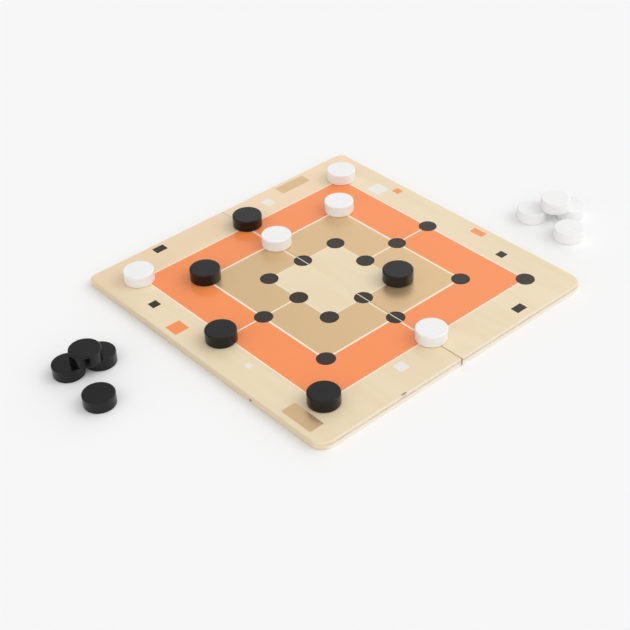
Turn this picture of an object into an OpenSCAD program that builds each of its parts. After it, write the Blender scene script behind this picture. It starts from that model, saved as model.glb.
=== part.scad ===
// Two-leaf plywood board for mill, with solitaire on its underside, and its eighteen painted wooden discs.
// The origin is the centre of the board's underside, the seam runs along X and +Z is up. Lengths are in mm.

/* [Board] */
// Length of both leaves along the seam
board_x = 284; // [270:1:320]
// Depth of one leaf, square to the seam
leaf_y = 139.5; // [135:0.5:160]
// Thickness of the plywood
board_t = 6.8; // [5:0.1:12]
// Radius of the two outer corners at the right end
right_corner_r = 12; // [6:0.5:20]
// Radius of the two outer corners at the left end
left_corner_r = 7; // [4:0.5:20]
// Radius of the leaf corners at the ends of the seam
seam_corner_r = 1.5; // [1:0.5:12]
// Radius of the rounded outer arrises
arris_r = 1.5; // [0.5:0.1:2.2]
// Radius of the fine arrises along the seam
seam_arris_r = 0.1; // [0.1:0.05:0.3]
// Gap between the two leaves
seam_gap = 0.1; // [0.05:0.05:0.4]

/* [Print] */
// Distance between neighbouring points of both games
pitch = 36; // [30:0.5:40]
// Diameter of a printed point
dot_d = 15.1; // [8:0.1:20]
// Width of the white line of the outer square
outer_line_w = 1.2; // [0.6:0.1:3]
// Width of the white line of the middle square
middle_line_w = 1.7; // [0.6:0.1:3]
// Width of the white line of the inner square
inner_line_w = 0.8; // [0.6:0.1:3]
// Width of the white arms that join the squares
arm_w = 1.4; // [0.6:0.1:3]
// Bare strip between the seam and the arms that run along it, which are printed on the front leaf
seam_line_gap = 0.8; // [0.7:0.1:3]
// How far the front leaf's fields and squares are printed forward of its points
front_print_slip = 0.7; // [0:0.1:2]
// Thickness of a layer of ink
ink_t = 0.1; // [0.05:0.05:0.2]
// Bare strip that the ink leaves along the seam, on each leaf
ink_margin = 0.4; // [0.3:0.05:0.5]

/* [Discs] */
// Diameter of a disc
disc_d = 25; // [18:0.5:30]
// Height of a disc
disc_h = 10; // [6:0.2:14]
// Radius of a disc's arrises
disc_arris_r = 0.9; // [0.3:0.1:2]

/* [Spare discs] */
// Distance from the board's front edge to the middle of the black pile
black_pile_gap = 62.5; // [40:0.5:120]
// Place of the black pile along X
black_pile_x = -53.5; // [-100:0.5:20]
// Distance from the board's rear edge to the middle of the white pile
white_pile_gap = 60.5; // [40:0.5:120]
// Place of the white pile along X
white_pile_x = 64; // [-40:0.5:100]

/* [Edge flaws] */
// Depth of both flaws
flaw_depth = 0.9; // [0.4:0.1:1.5]
// Length of the open gap in the core plies of the front edge
front_flaw_l = 2.2; // [1:0.1:6]
// Height of that gap
front_flaw_h = 1.2; // [0.4:0.1:1.6]
// Length of the split in the top veneer of the right edge
right_flaw_l = 6; // [1:0.1:8]
// Height of that split
right_flaw_h = 0.6; // [0.3:0.1:0.8]

/* [Hidden] */
$fn = 64;
// Half the length of the board, and how far the board's front and rear edges lie from its centre line
half_x = board_x / 2;
half_y = seam_gap / 2 + leaf_y;
// The mill's squares lie one, two and three pitches out
RINGS = 3;
square_line_w = [inner_line_w, middle_line_w, outer_line_w];
print_reach = RINGS * pitch;
// Solitaire's cross reaches three pitches out, and each of its arms one pitch to both sides of its middle
CROSS_REACH = 3;
CROSS_ARM = 1;
// Where the ink starts beside the seam, and the height that the discs stand at
ink_edge = seam_gap / 2 + ink_margin;
play_z = board_t + ink_t;
// Overshoot of a cutting shape
over = 1;
// Middle of the gap in the front edge, and of the split in the right edge
front_flaw_x = 65.7;
front_flaw_z = board_t * 0.47;
right_flaw_y = -60.7;
right_flaw_z = board_t * 0.87;

// Small marks on the border. Each row is the bearing of its border (0 right, 90 rear, 180 left, 270 front)
// and then, in pitches, how far its middle lies along that border anticlockwise, how far in from the edge
// it lies, its width across the border and its length along it.
orange_marks = [[90, 1.61, 0.28, 0.18, 0.19], [90, -1.01, 0.24, 0.18, 0.36], [270, -1.01, 0.32, 0.36, 0.36]];
tan_marks = [[180, -2, 0.28, 0.32, 0.86], [270, 3.03, 0.33, 0.36, 0.86]];
white_marks = [[90, 2.01, 0.56, 0.39, 0.4], [180, -1.03, 0.49, 0.28, 0.26], [270, 1.06, 0.59, 0.145, 0.145],
               [0, -1.08, 0.68, 0.26, 0.26]];
dark_marks = [[90, -1.99, 0.53, 0.2, 0.2], [0, 2.1, 0.33, 0.21, 0.29], [180, 2.03, 0.24, 0.21, 0.3],
              [270, -2.04, 0.47, 0.21, 0.21]];

// Middles of the discs that stand on the board, in pitches from its centre
black_on_board = [[2.99, -2.94], [-0.03, -3.13], [-2.03, -1.99], [-3.06, 0.07], [1.03, 1.02]];
white_on_board = [[-3.03, -3.09], [-3.02, 3.03], [-1.99, 2.02], [-1.94, 0.02], [3.03, 0.03]];
// Middles of the spare discs, in disc diameters from the middle of their pile. The last one lies on top.
black_in_pile = [[1.69, -0.63], [-0.11, -0.51], [0.1, 0.49], [0.13, 0]];
white_in_pile = [[-0.72, -0.51], [0.03, 0.56], [0.92, -0.55], [-0.19, 0.04]];
TOP_SPARE = 3;

// Each place is X, Y and the height of the underside
function standing(list) = [for (p = list) [p[0] * pitch, p[1] * pitch, play_z]];
function lying(list, x, y) = [
    for (i = [0:len(list) - 1])
        [x + list[i][0] * disc_d, y + list[i][1] * disc_d, i == TOP_SPARE ? disc_h : 0]
];
black_places = concat(standing(black_on_board), lying(black_in_pile, black_pile_x, -half_y - black_pile_gap));
white_places = concat(standing(white_on_board), lying(white_in_pile, white_pile_x, half_y + white_pile_gap));

// Outline of an edge in section: from the inner end at X 0 to a face with rounded arrises at X = reach
module edge_section(reach, r) {
    square([reach - r, board_t]);
    translate([0, r]) square([reach, board_t - 2 * r]);
    translate([reach - r, r]) circle(r);
    translate([reach - r, board_t - r]) circle(r);
}

// Straight stretch of such an edge that faces +X and runs along +Y from Y 0
module edge_run(reach, r, length) {
    translate([0, length, 0]) rotate([90, 0, 0]) linear_extrude(length) edge_section(reach, r);
}

// A corner that turns the same section through a quarter, from +X to +Y
module edge_corner(reach, r) {
    rotate_extrude(angle = 90) edge_section(reach, r);
}

// Plate whose edges at X ends and at Y = y_edge are rounded, and which runs square to Y = y_edge - depth
module rounded_plate(y_edge, depth, left_r, right_r, r) {
    translate([half_x - right_r, y_edge - right_r, 0]) edge_corner(right_r, r);
    translate([half_x - right_r, y_edge - depth, 0]) edge_run(right_r, r, depth - right_r);
    translate([left_r - half_x, y_edge - left_r, 0]) rotate([0, 0, 90]) edge_corner(left_r, r);
    translate([left_r - half_x, y_edge - left_r, 0]) rotate([0, 0, 180]) edge_run(left_r, r, depth - left_r);
    translate([half_x - right_r, y_edge - depth, 0])
        rotate([0, 0, 90])
            edge_run(depth, r, board_x - left_r - right_r);
}

// Rear leaf before its underside print: the outer edges, met by the finely eased seam edge
module leaf_blank() {
    intersection() {
        rounded_plate(half_y, leaf_y + over, left_corner_r, right_corner_r, arris_r);
        mirror([0, 1, 0])
            rounded_plate(-seam_gap / 2, leaf_y + over, seam_corner_r, seam_corner_r, seam_arris_r);
    }
}

// Flat face of one leaf that takes ink: side is -1 for the front leaf and 1 for the rear leaf
module flat_face(side) {
    flat_l = board_x - 2 * arris_r;
    flat_w = half_y - arris_r - ink_edge;
    translate([-flat_l / 2, side > 0 ? ink_edge : -ink_edge - flat_w]) square([flat_l, flat_w]);
}

// What is printed forward of the points on the front leaf, and true to them on the rear leaf
module slipped(side) {
    translate([0, side < 0 ? -front_print_slip : 0]) children();
}

module centred_square(half) {
    translate([-half, -half]) square(2 * half);
}

// Points of the mill: eight on each of its three squares
module mill_dots() {
    for (k = [1:RINGS]) {
        for (i = [-1:1]) {
            for (j = [-1:1]) {
                if (i != 0 || j != 0) translate([i, j] * k * pitch) circle(d = dot_d);
            }
        }
    }
}

// White lines of the three squares, and the arm that joins them square to the seam
module square_lines(side) {
    for (k = [1:RINGS]) {
        difference() {
            centred_square(k * pitch + square_line_w[k - 1] / 2);
            centred_square(k * pitch - square_line_w[k - 1] / 2);
        }
    }
    translate([-arm_w / 2, side > 0 ? pitch : -print_reach]) square([arm_w, print_reach - pitch]);
}

// The two arms that run along the seam, widened towards it where they cut the fields
module seam_arms(widened) {
    for (x = [-print_reach, pitch]) {
        translate([x, -seam_line_gap - arm_w]) square([print_reach - pitch, arm_w + widened]);
    }
}

// White lines of one leaf
module mill_lines(side) {
    slipped(side) square_lines(side);
    if (side < 0) seam_arms(0);
}

// Field of colour between two squares of the mill, without the lines and the points
module mill_field(side, outer, inner) {
    difference() {
        slipped(side) centred_square(outer * pitch);
        slipped(side) centred_square(inner * pitch);
        slipped(side) square_lines(side);
        if (side < 0) seam_arms(seam_line_gap);
        mill_dots();
    }
}

// Points of solitaire: a cross with arms three points wide
module solitaire_dots() {
    for (i = [-CROSS_REACH:CROSS_REACH]) {
        for (j = [-CROSS_REACH:CROSS_REACH]) {
            if (min(abs(i), abs(j)) <= CROSS_ARM) translate([i, j] * pitch) circle(d = dot_d);
        }
    }
}

// Marks of one colour, which stop short of the outer square and its points
module border_marks(side, list) {
    difference() {
        for (m = list) {
            edge = m[0] % 180 == 0 ? half_x : half_y;
            across = m[3] * pitch;
            along = m[4] * pitch;
            rotate(m[0])
                translate([edge - m[2] * pitch - across / 2, m[1] * pitch - along / 2])
                    square([across, along]);
        }
        slipped(side) centred_square(print_reach + outer_line_w / 2);
        mill_dots();
    }
}

// Layer of ink on top of one leaf, from flat shapes
module ink(side) {
    translate([0, 0, board_t])
        linear_extrude(ink_t)
            intersection() {
                flat_face(side);
                children();
            }
}

// Ink of the underside, flush with it
module underside_ink(side) {
    linear_extrude(ink_t)
        intersection() {
            flat_face(side);
            solitaire_dots();
        }
}

module orange_print(side) {
    color("#f69662") ink(side) {
        mill_field(side, 3, 2);
        border_marks(side, orange_marks);
    }
}

module tan_print(side) {
    color("#d5b68b") ink(side) {
        mill_field(side, 2, 1);
        border_marks(side, tan_marks);
    }
}

module white_print(side) {
    color("#f4efe8") ink(side) {
        difference() {
            mill_lines(side);
            mill_dots();
        }
        border_marks(side, white_marks);
    }
}

module dark_print(side) {
    color("#423c3e") ink(side) {
        mill_dots();
        border_marks(side, dark_marks);
    }
}

module solitaire_print(side) {
    color("#423c3e") underside_ink(side);
}

// Open gap and split in the edges of the front leaf
module edge_flaws() {
    translate([front_flaw_x - front_flaw_l / 2, -half_y - over, front_flaw_z - front_flaw_h / 2])
        cube([front_flaw_l, flaw_depth + over, front_flaw_h]);
    translate([half_x - flaw_depth, right_flaw_y - right_flaw_l / 2, right_flaw_z - right_flaw_h / 2])
        cube([flaw_depth + over, right_flaw_l, right_flaw_h]);
}

module front_leaf() {
    color("#ead9bb")
        difference() {
            mirror([0, 1, 0]) leaf_blank();
            edge_flaws();
            underside_ink(-1);
        }
}

module rear_leaf() {
    color("#ead9bb")
        difference() {
            leaf_blank();
            underside_ink(1);
        }
}

// Turned disc with rounded arrises, standing at a place
module disc(place) {
    translate(place)
        rotate_extrude() {
            square([disc_d / 2 - disc_arris_r, disc_h]);
            translate([0, disc_arris_r]) square([disc_d / 2, disc_h - 2 * disc_arris_r]);
            translate([disc_d / 2 - disc_arris_r, disc_arris_r]) circle(disc_arris_r);
            translate([disc_d / 2 - disc_arris_r, disc_h - disc_arris_r]) circle(disc_arris_r);
        }
}

module black_disc(i) {
    color("#2a2b2b") disc(black_places[i]);
}

module white_disc(i) {
    color("#f0f0f0") disc(white_places[i]);
}

front_leaf();
rear_leaf();
orange_print(-1);  // front_orange_print
tan_print(-1);  // front_tan_print
white_print(-1);  // front_white_print
dark_print(-1);  // front_dark_print
orange_print(1);  // rear_orange_print
tan_print(1);  // rear_tan_print
white_print(1);  // rear_white_print
dark_print(1);  // rear_dark_print
solitaire_print(-1);  // front_solitaire_print
solitaire_print(1);  // rear_solitaire_print
for (i = [1:len(black_places)]) {
    black_disc(i - 1);
}
for (i = [1:len(white_places)]) {
    white_disc(i - 1);
}
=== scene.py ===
# Looks of a two-leaf plywood game board and its painted wooden discs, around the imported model.
# Lengths are in metres, colours are written as they show on a screen, from 0 to 255.

import math

import bpy
from mathutils import Euler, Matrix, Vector


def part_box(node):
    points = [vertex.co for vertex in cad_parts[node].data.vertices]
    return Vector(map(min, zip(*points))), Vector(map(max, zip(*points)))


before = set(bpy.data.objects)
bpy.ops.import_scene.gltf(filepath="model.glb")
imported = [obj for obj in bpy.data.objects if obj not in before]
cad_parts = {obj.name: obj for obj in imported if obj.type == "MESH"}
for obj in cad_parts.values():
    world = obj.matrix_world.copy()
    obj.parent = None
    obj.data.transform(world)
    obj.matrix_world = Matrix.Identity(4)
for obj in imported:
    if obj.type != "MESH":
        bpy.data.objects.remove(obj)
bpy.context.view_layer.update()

MM = 0.001

# The camera looks down on the board from beyond its front right corner
CAMERA_PLACE = (0.6636, -0.5758, 0.6310)
CAMERA_TURN = (53.07, 2.28, 48.35)
CAMERA_LENS = 76.97
CAMERA_SENSOR = 36.0
CAMERA_NEAR = 0.01

# The board as the frame has it
BOARD_LOW, BOARD_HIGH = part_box("rear_leaf")
BOARD_T = BOARD_HIGH.z - BOARD_LOW.z
MID_HEIGHT = 0.5 * BOARD_T
SEAM_HALF = BOARD_LOW.y

# Plywood: five plies, with a thin glue line between each two
PLIES = 5
PLY_MARGIN = 0.01
PLY_WANDER = 0.10
GLUE_LINE = 0.035
GLUE_SHARE = 0.5
VENEER_PALE = (237, 220, 187)
VENEER_WARM = (233, 213, 178)
CROSS_PLY = (222, 205, 176)
GLUE_BROWN = (200, 178, 146)
WOOD_ROUGHNESS = (0.28, 0.36)
FRONT_LEAF_SHIFT = 0.0
REAR_LEAF_SHIFT = 0.73

# Noise of the wood and the paint, with the size of its features along X, Y and Z
FIGURE = {"size": (120 * MM, 14 * MM, 14 * MM), "distortion": 0.6}
FIBRES = {"size": (16 * MM, 0.55 * MM, 0.55 * MM), "detail": 3.0}
CROSS_STREAKS = {"size": (0.6 * MM, 12 * MM, 0.5 * MM)}
PLY_WAVES = {"size": (14 * MM, 14 * MM, 3 * MM), "shift": 0.2, "detail": 1.0}
EDGE_WEAR = {"size": (2 * MM, 5 * MM, 2 * MM), "shift": 0.6}
BRUSHED_SKIN = {"size": (3 * MM, 3 * MM, 3 * MM), "shift": 0.4}
PAINTED_WOOD = {"size": (22 * MM, 0.9 * MM, 3 * MM), "shift": 0.1}

# How the noise shows: where in its span a feature starts and is full, and its least and most share
# where they are not 0 and 1
FIGURE_RISE = (0.25, 0.75)
FIBRE_RISE = (0.55, 0.8, 0.0, 0.15)
PRINTED_FIGURE_RISE = (0.3, 0.7)
PRINTED_FIBRE_RISE = (0.58, 0.8, 0.0, 0.05)
STREAK_RISE = (0.35, 0.7)
EDGE_WEAR_RISE = (0.35, 0.6, 0.4, 1.0)
GLOSS_SPAN = (0.3, 0.7)

# Bump: strength and depth, and how much the streaks of the wood add to the skin of the paint
FIBRE_BUMP = (0.15, 0.03 * MM)
PAINT_BUMP = (0.2, 0.02 * MM)
WOOD_UNDER_PAINT = 0.5

# The tones of the borders and edges below fade in along X, Y or Z: where each starts and is full, and its
# least and most share where they are not 0 and 1.
# The veneer is warmer on the left border, and a little darker there on the front leaf.
LEFT_FADE = (-100 * MM, -118 * MM, 0.0, 0.6)
FRONT_LEFT_WARM = (236, 206, 169)
REAR_LEFT_WARM = (246, 215, 180)

# The right edge has a pale arris, whose paler, cooler tone is a painted highlight, and a browned upper cross
# ply, and it is paler towards the bottom
RIGHT_EDGE = 1.7 * MM
RIGHT_FADE = (BOARD_HIGH.x - RIGHT_EDGE, BOARD_HIGH.x - 0.5 * RIGHT_EDGE)
# Painted highlight: the arris is given a paler, cooler tone
RIGHT_ARRIS_HIGHLIGHT = (228, 214, 191)
RIGHT_CROSS_PLY = (206, 186, 160)
RIGHT_LOW_FADE = (0.6 * BOARD_T, 0.15 * BOARD_T, 0.0, 0.85)
RIGHT_LOW_PLY = (247, 243, 234)

# Painted shade: the front edge and its arris, which face away from the light, are a little darker and
# browner
FRONT_EDGE = 0.9 * MM
FRONT_FADE = (FRONT_EDGE - BOARD_HIGH.y, 0.1 * FRONT_EDGE - BOARD_HIGH.y, 0.0, 0.8)
FRONT_EDGE_SHADE = (220, 202, 170)

# The bare strip along the seam. It is pale where it cuts the dark points: bare wood, with a painted
# highlight of its rounded arrises.
# It takes up the colour of the fields beside it, hardly shows in the bare middle and has a darker line
# beside it on the borders.
STRIP_HALF = SEAM_HALF + 0.45 * MM
STRIP_PALE = (250, 243, 228)
STRIP_REAR_DIM = 0.3
STRIP_FIELDS = (
    ((0 * MM, 28 * MM), (240, 225, 194)),
    ((44 * MM, 64 * MM), (206, 174, 130)),
    ((80 * MM, 108 * MM), (232, 178, 138)),
)
FIELD_REACH = 110 * MM
SEAM_LINE_REACH = SEAM_HALF + 1.1 * MM
SEAM_LINE_DARK = (180, 158, 124)
SEAM_LINE_DARK_LEFT = (211, 189, 158)

# Painted shade of the open end of the seam, at the right edge, where the gap between the leaves is dark
NOTCH_HALF = SEAM_HALF + 0.6 * MM
NOTCH_START = BOARD_HIGH.x - 0.6 * RIGHT_EDGE
NOTCH_SHADE = (178, 158, 130)

# The white lines are worn where they run along the seam
SEAM_ARMS_REACH = 2.4 * MM
SEAM_ARMS_WEAR = 0.25
SEAM_ARMS_WORN = (214, 179, 131)

# Flaws in the edge plies: centre and half size of the darkened wood, and its colour, which is partly darker
# wood and partly painted shade in the open knot and the split. The darkening fades out between two shares of
# its half size, both squared.
FRONT_KNOT = ((65.7 * MM, -139.55 * MM, 0.47 * BOARD_T), (1.6 * MM, 1.5 * MM, 1.0 * MM), (118, 102, 76))
RIGHT_SPLIT = ((140.6 * MM, -59 * MM, BOARD_T), (1.1 * MM, 3.2 * MM, 0.9 * MM), (160, 140, 114))
FLAW_FADE = (1.0, 0.35)

# Inks of the print. The white ink is warm where it crosses the fields. The tan ink has a metallic sheen,
# in which the discs show as soft dark reflections.
ORANGE_INK = (249, 142, 77)
TAN_INK = (227, 193, 146)
WHITE_INK = (236, 232, 227)
WARM_WHITE_INK = (252, 236, 216)
DARK_INK = (38, 28, 20)
ORANGE_COVER = 0.98
PALE_COVER = 0.94
DARK_COVER = 0.99
INK_GLOSS = 0.5
INK_ROUGHNESS = (0.15, 0.22)
TAN_METAL = 0.66
TAN_ROUGHNESS = (0.31, 0.37)
DARK_INK_GLOSS = 0.3

# Paints of the discs
BLACK_PAINT = (7, 7, 6)
BLACK_PAINT_WORN = (11, 11, 10)
BLACK_GLOSS = 0.345
BLACK_ROUGHNESS = (0.13, 0.19)
WHITE_PAINT = (241, 241, 241)
WHITE_PAINT_WORN = (238, 238, 237)
WHITE_GLOSS = 0.5
WHITE_ROUGHNESS = (0.34, 0.44)

# Studio
FLOOR_SIZE = 12.0
FLOOR_DROP = 0.02 * MM
FLOOR_WHITE = (247, 247, 247)
SKY_STRENGTH = 0.41
SKY_WHITE = (1, 1, 1, 1)

# Soft boxes of the surround: bearing from +X towards +Y and height above the horizon, angle from the middle
# to the end of the full brightness and to the dark, all in degrees, and the strength
SOFT_BOXES = (
    (41, 38, 15, 60, 0.36),
    (86, 35, 15, 50, 0.30),
    (-4, 38, 15, 50, 0.39),
    (131, 15, 10, 35, 0.30),
    (120, 18, 5, 45, 0.31),
    (101, 20, 5, 35, 0.35),
    (246, 28, 15, 55, 0.28),
    (296, 28, 15, 55, 0.64),
)
KEY_BEARING = 50
KEY_HEIGHT = 40
KEY_SPREAD = 38
KEY_STRENGTH = 0.5


def linear(colour):
    """A screen colour, from 0 to 255, as the linear colour that a shader takes, by the sRGB curve."""
    def channel(value):
        share = value / 255
        return share / 12.92 if share <= 0.04045 else ((share + 0.055) / 1.055) ** 2.4
    return (*[channel(value) for value in colour], 1.0)


def new_material(name):
    """An empty node material with its Principled shader."""
    made = bpy.data.materials.new(name)
    made.use_nodes = True
    return made, made.node_tree, made.node_tree.nodes["Principled BSDF"]


def give(tree, value, target):
    """A value, or another node's output, for an input."""
    if isinstance(value, bpy.types.NodeSocket):
        tree.links.new(value, target)
    else:
        target.default_value = value


def node(tree, kind, inputs=None, **settings):
    """A node with its settings, and its inputs set to values or joined to other nodes' outputs."""
    made = tree.nodes.new(kind)
    for name, value in settings.items():
        setattr(made, name, value)
    for target, value in (inputs or {}).items():
        give(tree, value, made.inputs[target])
    return made


def calc(tree, operation, first, second=0.0, third=0.0):
    """One step of arithmetic on numbers or outputs."""
    return node(tree, "ShaderNodeMath", {0: first, 1: second, 2: third}, operation=operation).outputs[0]


def both(tree, first, second):
    """The product of two shares."""
    return calc(tree, "MULTIPLY", first, second)


def over(tree, value, edge):
    """1 where a number is greater than an edge, and 0 elsewhere."""
    return calc(tree, "GREATER_THAN", value, edge)


def within(tree, value, low, high):
    """1 where a number lies between two others, and 0 elsewhere."""
    return both(tree, over(tree, value, low), calc(tree, "LESS_THAN", value, high))


def blend(tree, share, first, second):
    """Two colours mixed by a share. Each is a screen colour or another node's output."""
    made = node(tree, "ShaderNodeMix", data_type="RGBA")
    for name, value in (("Factor", share), ("A", first), ("B", second)):
        value = linear(value) if isinstance(value, tuple) else value
        give(tree, value, next(s for s in made.inputs if s.name == name and s.enabled))
    return next(s for s in made.outputs if s.enabled)


def layered(tree, colour, layers):
    """A colour with others laid over it, each by its share."""
    for share, over_it in layers:
        colour = blend(tree, share, colour, over_it)
    return colour


def remap(tree, value, low, high, to_low=0.0, to_high=1.0):
    """A number brought smoothly from one span to another."""
    inputs = {"Value": value, "From Min": low, "From Max": high, "To Min": to_low, "To Max": to_high}
    return node(tree, "ShaderNodeMapRange", inputs, interpolation_type="SMOOTHSTEP").outputs[0]


def places(tree):
    """Object coordinates, whole and as X, Y and Z."""
    whole = node(tree, "ShaderNodeTexCoord").outputs["Object"]
    apart = node(tree, "ShaderNodeSeparateXYZ", {"Vector": whole})
    return whole, (apart.outputs["X"], apart.outputs["Y"], apart.outputs["Z"])


def streaks(tree, where, size, shift=0.0, detail=2.0, distortion=0.0):
    """Noise whose features have about the given size along X, Y and Z."""
    scale = tuple(1 / value for value in size)
    moved = node(tree, "ShaderNodeMapping", {"Vector": where, "Location": (shift, shift, 0), "Scale": scale})
    inputs = {"Vector": moved.outputs[0], "Scale": 1.0, "Detail": detail, "Distortion": distortion}
    return node(tree, "ShaderNodeTexNoise", inputs).outputs["Fac"]


def surface(tree, shader, colour, roughness, relief, bump):
    """The colour, the roughness and the fine bump of a shader."""
    strength, depth = bump
    raised = node(tree, "ShaderNodeBump", {"Height": relief, "Strength": strength, "Distance": depth})
    tree.links.new(colour, shader.inputs["Base Color"])
    tree.links.new(roughness, shader.inputs["Roughness"])
    tree.links.new(raised.outputs[0], shader.inputs["Normal"])


def grain_figure(tree, where, shift):
    """Broad soft figure and fine fibres of a pale veneer that runs along X."""
    return streaks(tree, where, shift=shift, **FIGURE), streaks(tree, where, shift=shift, **FIBRES)


def ellipsoid_mask(tree, parts, centre, half):
    """1 in the middle of a flaw, fading to 0 at the edge of its darkened patch."""
    total = 0.0
    for axis in range(3):
        offset = calc(tree, "SUBTRACT", parts[axis], centre[axis])
        share = calc(tree, "DIVIDE", offset, half[axis])
        total = calc(tree, "MULTIPLY_ADD", share, share, total)
    return remap(tree, total, *FLAW_FADE)


def ply_layers(tree, where, height):
    """Share of cross ply and of glue at a height, with boundaries that wander a little."""
    wander = calc(tree, "SUBTRACT", streaks(tree, where, **PLY_WAVES), 0.5)
    level = calc(tree, "MULTIPLY", height, PLIES / BOARD_T)
    level = calc(tree, "MULTIPLY_ADD", wander, PLY_WANDER, level)
    level = calc(tree, "MINIMUM", calc(tree, "MAXIMUM", level, PLY_MARGIN), PLIES - PLY_MARGIN)
    cross = calc(tree, "MODULO", calc(tree, "FLOOR", level), 2.0)
    to_line = calc(tree, "PINGPONG", level, 0.5)
    from_middle = calc(tree, "ABSOLUTE", calc(tree, "SUBTRACT", level, PLIES / 2))
    inner = calc(tree, "LESS_THAN", from_middle, PLIES / 2 - 0.5)
    return cross, both(tree, remap(tree, to_line, GLUE_LINE, 0.0), inner)


def seam_strip(tree, colour, x, y, z):
    """A leaf's colour with the bare strip along the seam and its painted highlight, on the printed side, the
    darker line on the borders and the painted shade in its open end.
    """
    out = calc(tree, "ABSOLUTE", x)
    strip = both(tree, within(tree, y, -STRIP_HALF, STRIP_HALF), over(tree, z, MID_HEIGHT))
    # The pale tone is bare wood with a painted highlight of the seam's rounded arrises
    tone = blend(tree, both(tree, over(tree, y, 0.0), STRIP_REAR_DIM), STRIP_PALE, GLUE_BROWN)
    for span, beside in STRIP_FIELDS:
        tone = blend(tree, within(tree, out, *span), tone, beside)
    border_line = both(tree, within(tree, y, -SEAM_LINE_REACH, 0.0), over(tree, out, FIELD_REACH))
    line_tone = blend(tree, over(tree, x, 0.0), SEAM_LINE_DARK_LEFT, SEAM_LINE_DARK)
    # Painted shade in the open end of the seam
    notch = both(tree, within(tree, y, -NOTCH_HALF, NOTCH_HALF), over(tree, x, NOTCH_START))
    return layered(tree, colour, ((strip, tone), (border_line, line_tone), (notch, NOTCH_SHADE)))


def outer_edges(tree, colour, left_tone, where, parts, cross):
    """A leaf's colour with the tones of the left border, the right edge and the front edge."""
    x, y, z = parts
    right = remap(tree, x, *RIGHT_FADE)
    upper = both(tree, right, over(tree, z, MID_HEIGHT))
    worn = remap(tree, streaks(tree, where, **EDGE_WEAR), *EDGE_WEAR_RISE)
    tones = (
        (remap(tree, x, *LEFT_FADE), left_tone),
        # Painted highlight tint on the right arris
        (upper, RIGHT_ARRIS_HIGHLIGHT),
        (both(tree, upper, both(tree, cross, worn)), RIGHT_CROSS_PLY),
        (both(tree, right, remap(tree, z, *RIGHT_LOW_FADE)), RIGHT_LOW_PLY),
        # Painted shade on the front edge and its arris
        (remap(tree, y, *FRONT_FADE), FRONT_EDGE_SHADE),
    )
    return layered(tree, colour, tones)


def plywood(name, shift, left_tone):
    """Pale lacquered plywood: softly figured veneers, cross plies, glue lines, flaws and the seam strip,
    with painted highlight and shade on the right arris, the front edge, the flaws and the seam.
    """
    made, tree, shader = new_material(name)
    where, parts = places(tree)
    figure, fibres = grain_figure(tree, where, shift)
    veneer = blend(tree, remap(tree, figure, *FIGURE_RISE), VENEER_PALE, VENEER_WARM)
    veneer = blend(tree, remap(tree, fibres, *FIBRE_RISE), veneer, VENEER_WARM)
    cross_streaks = streaks(tree, where, shift=shift, **CROSS_STREAKS)
    cross_wood = blend(tree, remap(tree, cross_streaks, *STREAK_RISE), CROSS_PLY, VENEER_WARM)
    cross, glue = ply_layers(tree, where, parts[2])
    colour = layered(tree, veneer, ((cross, cross_wood), (both(tree, glue, GLUE_SHARE), GLUE_BROWN)))
    colour = outer_edges(tree, colour, left_tone, where, parts, cross)
    colour = seam_strip(tree, colour, *parts)
    # Flaws: darker wood, with painted shade in the open knot and the split
    for centre, half, wood_and_shade in (FRONT_KNOT, RIGHT_SPLIT):
        colour = blend(tree, ellipsoid_mask(tree, parts, centre, half), colour, wood_and_shade)
    roughness = remap(tree, fibres, *GLOSS_SPAN, *WOOD_ROUGHNESS)
    surface(tree, shader, colour, roughness, fibres, FIBRE_BUMP)
    return made


def ink(name, colour, cover, gloss, far_colour=None, shift=0.0, metal=0.0, rough=INK_ROUGHNESS):
    """Screen-printed ink, thin, that lets a little of the veneer's figure through. With a second colour
    it has that one beyond the fields, and is worn along the seam."""
    made, tree, shader = new_material(name)
    where, (x, y, _) = places(tree)
    figure, fibres = grain_figure(tree, where, shift)
    wood = blend(tree, remap(tree, figure, *PRINTED_FIGURE_RISE), VENEER_PALE, VENEER_WARM)
    if far_colour:
        out_x, out_y = calc(tree, "ABSOLUTE", x), calc(tree, "ABSOLUTE", y)
        beyond = over(tree, calc(tree, "MAXIMUM", out_x, out_y), FIELD_REACH)
        worn = both(tree, calc(tree, "LESS_THAN", out_y, SEAM_ARMS_REACH), SEAM_ARMS_WEAR)
        colour = layered(tree, colour, ((beyond, far_colour), (worn, SEAM_ARMS_WORN)))
    seen = blend(tree, cover, wood, colour)
    seen = blend(tree, remap(tree, fibres, *PRINTED_FIBRE_RISE), seen, VENEER_WARM)
    surface(tree, shader, seen, remap(tree, fibres, *GLOSS_SPAN, *rough), fibres, FIBRE_BUMP)
    shader.inputs["Specular IOR Level"].default_value = gloss
    shader.inputs["Metallic"].default_value = metal
    return made


def paint(name, colour, tint, gloss, rough):
    """Satin paint on turned wood, with a faint brushed skin and the wood's streaks just under it."""
    made, tree, shader = new_material(name)
    where, _ = places(tree)
    skin = streaks(tree, where, **BRUSHED_SKIN)
    wood = streaks(tree, where, **PAINTED_WOOD)
    seen = blend(tree, remap(tree, wood, *STREAK_RISE), colour, tint)
    relief = calc(tree, "MULTIPLY_ADD", wood, WOOD_UNDER_PAINT, skin)
    surface(tree, shader, seen, remap(tree, skin, *GLOSS_SPAN, *rough), relief, PAINT_BUMP)
    shader.inputs["Specular IOR Level"].default_value = gloss
    return made


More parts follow.
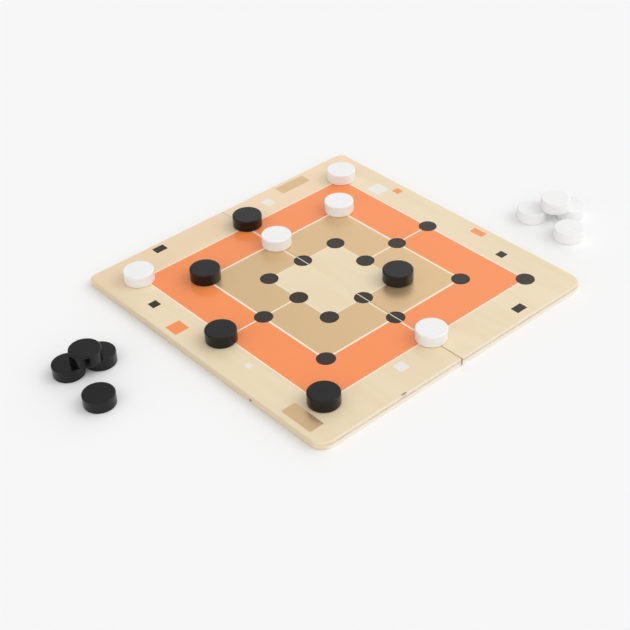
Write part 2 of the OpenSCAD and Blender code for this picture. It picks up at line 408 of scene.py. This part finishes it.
def finish_pieces():
    """Every piece of the frame gets its own finish in its material slot."""
    prints = {
        "orange": ink("orange_ink", ORANGE_INK, ORANGE_COVER, INK_GLOSS),
        "tan": ink("tan_ink", TAN_INK, PALE_COVER, INK_GLOSS, metal=TAN_METAL, rough=TAN_ROUGHNESS),
        "white": ink("white_ink", WARM_WHITE_INK, PALE_COVER, INK_GLOSS, WHITE_INK),
        "dark": ink("dark_ink", DARK_INK, DARK_COVER, DARK_INK_GLOSS),
        "solitaire": ink("solitaire_ink", DARK_INK, DARK_COVER, DARK_INK_GLOSS, shift=REAR_LEAF_SHIFT),
    }
    looks = {
        "front_leaf": plywood("plywood_front", FRONT_LEAF_SHIFT, FRONT_LEFT_WARM),
        "rear_leaf": plywood("plywood_rear", REAR_LEAF_SHIFT, REAR_LEFT_WARM),
        "black_disc": paint("black_paint", BLACK_PAINT, BLACK_PAINT_WORN, BLACK_GLOSS, BLACK_ROUGHNESS),
        "white_disc": paint("white_paint", WHITE_PAINT, WHITE_PAINT_WORN, WHITE_GLOSS, WHITE_ROUGHNESS),
    }
    for leaf in ("front", "rear"):
        for colour, look in prints.items():
            looks[f"{leaf}_{colour}_print"] = look
    for name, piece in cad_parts.items():
        look = looks.get(name) or looks[name.rsplit("_", 1)[0]]
        piece.material_slots[0].material = look


def floor():
    """Pale table top, matt, much larger than the view."""
    bpy.ops.mesh.primitive_plane_add(size=FLOOR_SIZE, location=(0, 0, -FLOOR_DROP))
    made = bpy.context.object
    made.name = "floor"
    look, _, shader = new_material("floor_white")
    shader.inputs["Base Color"].default_value = linear(FLOOR_WHITE)
    shader.inputs["Roughness"].default_value = 1.0
    shader.inputs["Specular IOR Level"].default_value = 0.0
    made.data.materials.append(look)


def towards(bearing, height):
    """The direction of a bearing and a height above the horizon."""
    turn, lift = math.radians(bearing), math.radians(height)
    return Vector((math.cos(turn) * math.cos(lift), math.sin(turn) * math.cos(lift), math.sin(lift)))


def sky():
    """Pale surround with soft boxes: the wide key on the right, fill on the left and behind the camera."""
    world = bpy.data.worlds.new("studio")
    world.use_nodes = True
    tree = world.node_tree
    direction = node(tree, "ShaderNodeTexCoord").outputs["Generated"]
    strength = SKY_STRENGTH
    for bearing, height, core, fringe, power in SOFT_BOXES:
        axes = {0: direction, 1: towards(bearing, height)}
        near = node(tree, "ShaderNodeVectorMath", axes, operation="DOT_PRODUCT").outputs["Value"]
        bright = remap(tree, near, math.cos(math.radians(fringe)), math.cos(math.radians(core)), 0.0, power)
        strength = calc(tree, "ADD", bright, strength)
    give(tree, strength, tree.nodes["Background"].inputs["Strength"])
    tree.nodes["Background"].inputs["Color"].default_value = SKY_WHITE
    bpy.context.scene.world = world


def key_light():
    """The firmer middle of the light from the right."""
    lamp = bpy.data.lights.new("key", "SUN")
    lamp.energy = KEY_STRENGTH
    lamp.angle = math.radians(KEY_SPREAD)
    made = bpy.data.objects.new("key", lamp)
    made.rotation_euler = towards(KEY_BEARING, KEY_HEIGHT).to_track_quat("Z", "Y").to_euler()
    bpy.context.scene.collection.objects.link(made)


def camera():
    """The photograph's view, with no shift and no depth of field."""
    lens = bpy.data.cameras.new("camera")
    lens.lens = CAMERA_LENS
    lens.sensor_width = CAMERA_SENSOR
    lens.clip_start = CAMERA_NEAR
    made = bpy.data.objects.new("camera", lens)
    made.location = CAMERA_PLACE
    made.rotation_euler = Euler([math.radians(value) for value in CAMERA_TURN])
    bpy.context.scene.collection.objects.link(made)
    bpy.context.scene.camera = made


camera()
sky()
key_light()
floor()
finish_pieces()
bpy.context.scene.view_settings.view_transform = "Standard"
